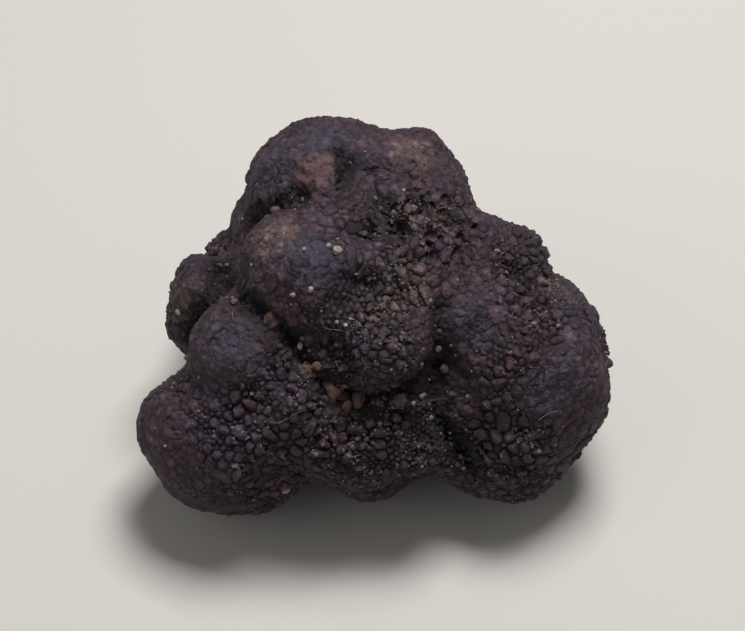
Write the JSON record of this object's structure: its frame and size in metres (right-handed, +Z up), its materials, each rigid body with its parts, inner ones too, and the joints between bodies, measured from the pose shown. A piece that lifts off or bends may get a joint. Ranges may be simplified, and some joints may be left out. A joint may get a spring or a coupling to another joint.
{
  "type": "truffle",
  "caption": "Whole black truffle: a dark, irregular, many-lobed fruiting body with a warty rind, resting on a small flat spot.",
  "frame": {"origin": "on the flat spot that the truffle rests on, straight under its centre of weight", "axes": "+Z up, away from the surface it rests on; +X along its longest way across; -Y towards the side that the picture shows"},
  "size_m": [0.076, 0.0623, 0.0509],
  "materials": {
    "rind": "matte"
  },
  "bodies": {
    "root": {"truffle": "rind"}
  },
  "joints": []
}
